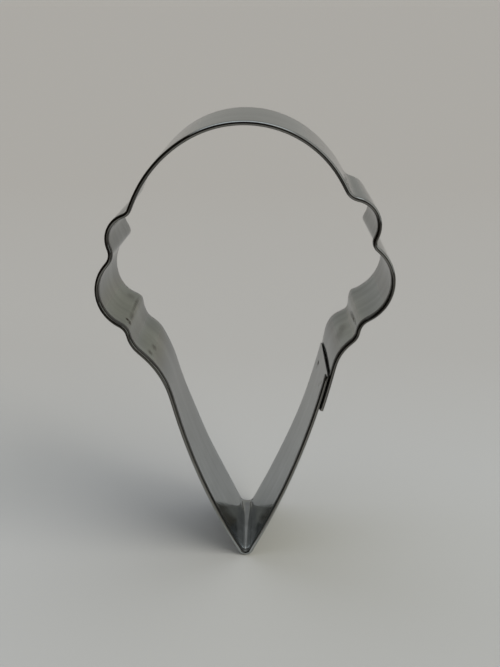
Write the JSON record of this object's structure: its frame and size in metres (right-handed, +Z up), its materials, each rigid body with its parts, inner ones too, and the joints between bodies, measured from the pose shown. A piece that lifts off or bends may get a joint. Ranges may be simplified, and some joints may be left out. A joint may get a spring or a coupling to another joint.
{
  "type": "cookie cutter",
  "caption": "Ice-cream-cone cookie cutter made of a bent steel strip, with a folded safety hem, a plain cutting edge and lapped, spot-welded ends.",
  "frame": {"origin": "on the ground under the middle of the cutter, which stands on its tip as in the picture", "axes": "+Z up the cone to the scoop, +X to the right as seen from the hem, +Y from the hem to the cutting edge"},
  "size_m": [0.0654, 0.025, 0.1032],
  "materials": {
    "tinplate": "smooth rolled tinplate with fine scratches along the strip",
    "weld_metal": "heat-darkened spot weld"
  },
  "bodies": {
    "root": {"cutter_band": "tinplate", "spot_weld_front": "weld_metal", "spot_weld_rear": "weld_metal"}
  },
  "joints": []
}
